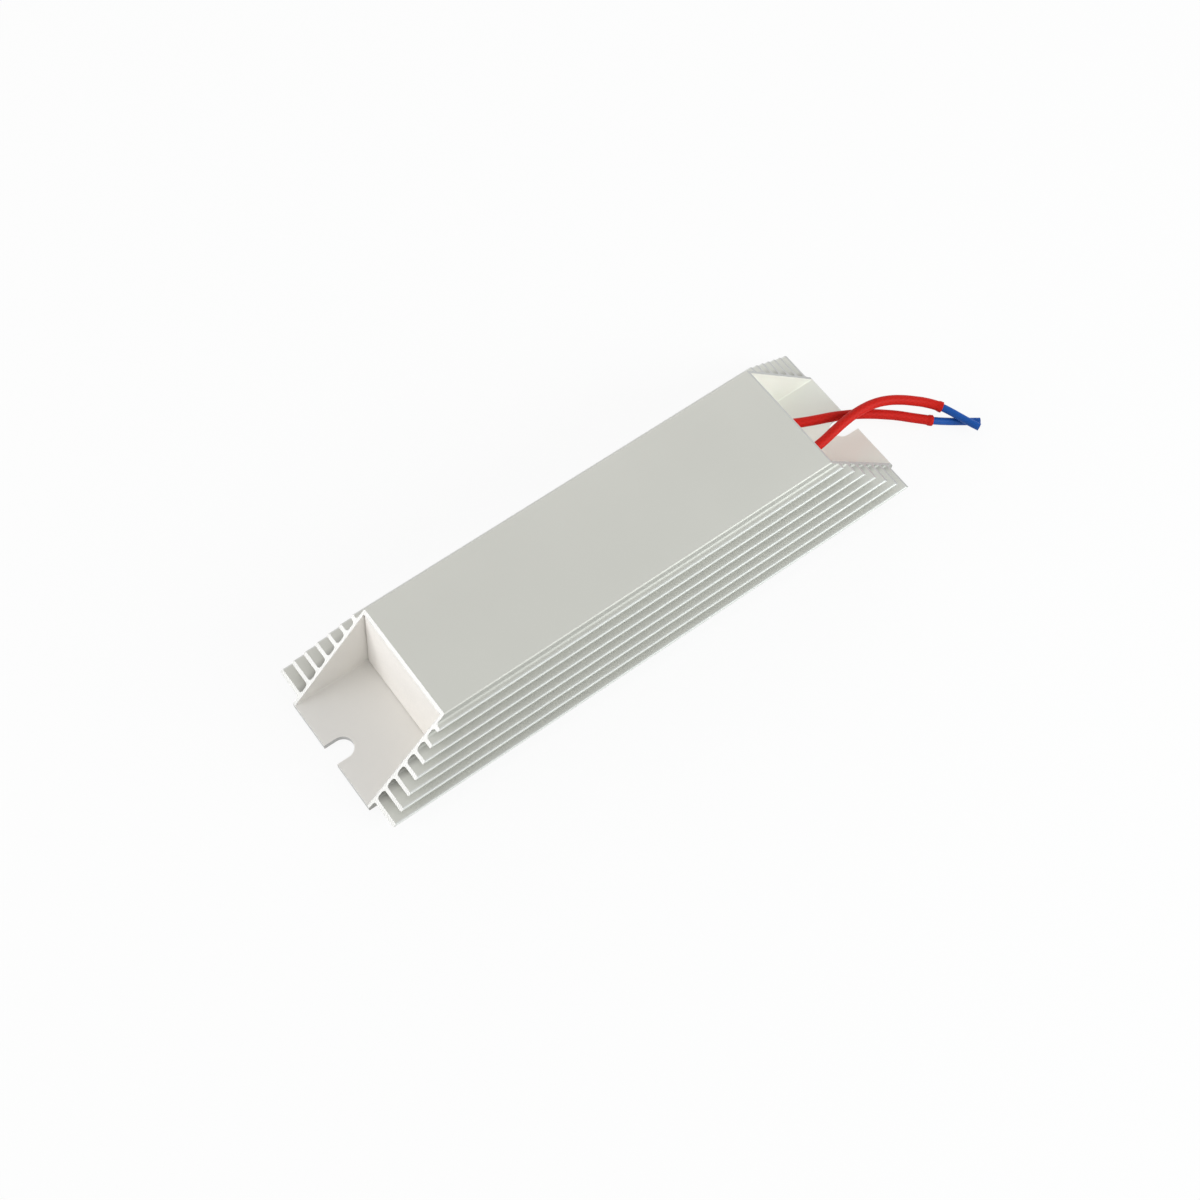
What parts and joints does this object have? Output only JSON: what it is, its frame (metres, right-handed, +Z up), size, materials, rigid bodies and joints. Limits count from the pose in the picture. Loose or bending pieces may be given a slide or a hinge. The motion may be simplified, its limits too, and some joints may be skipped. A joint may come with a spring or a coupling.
{
  "type": "braking resistor",
  "caption": "Finned aluminium-housed braking resistor with sawn ends, slotted feet and sleeved leads; it turns the braking energy of a motor drive into heat.",
  "frame": {"origin": "centre of the housing's base, on the surface it stands on", "axes": "+X along the extrusion towards the lead end, +Y across it, +Z up from the base"},
  "size_m": [0.2267, 0.06, 0.03],
  "materials": {
    "aluminium": "satin",
    "insulating_board": "matte",
    "cement": "matte",
    "core_ceramic": "matte",
    "resistance_alloy": "satin",
    "cap_steel": "satin",
    "tinned_copper": "satin",
    "copper": "satin",
    "blue_insulation": "satin",
    "red_sleeve": "satin"
  },
  "bodies": {
    "root": {"housing": "aluminium", "end_plate_closed": "insulating_board", "end_plate_leads": "insulating_board", "filler": "cement", "core_front": "core_ceramic", "core_rear": "core_ceramic", "winding_front": "resistance_alloy", "winding_rear": "resistance_alloy", "cap_front_near": "cap_steel", "cap_front_far": "cap_steel", "cap_rear_near": "cap_steel", "cap_rear_far": "cap_steel", "link_strap": "cap_steel", "pigtail_front": "tinned_copper", "pigtail_rear": "tinned_copper", "crimp_front": "tinned_copper", "crimp_rear": "tinned_copper", "conductor_front": "copper", "conductor_rear": "copper", "lead_wire_front": "blue_insulation", "lead_wire_rear": "blue_insulation", "lead_sleeve_front": "red_sleeve", "lead_sleeve_rear": "red_sleeve"}
  },
  "joints": []
}
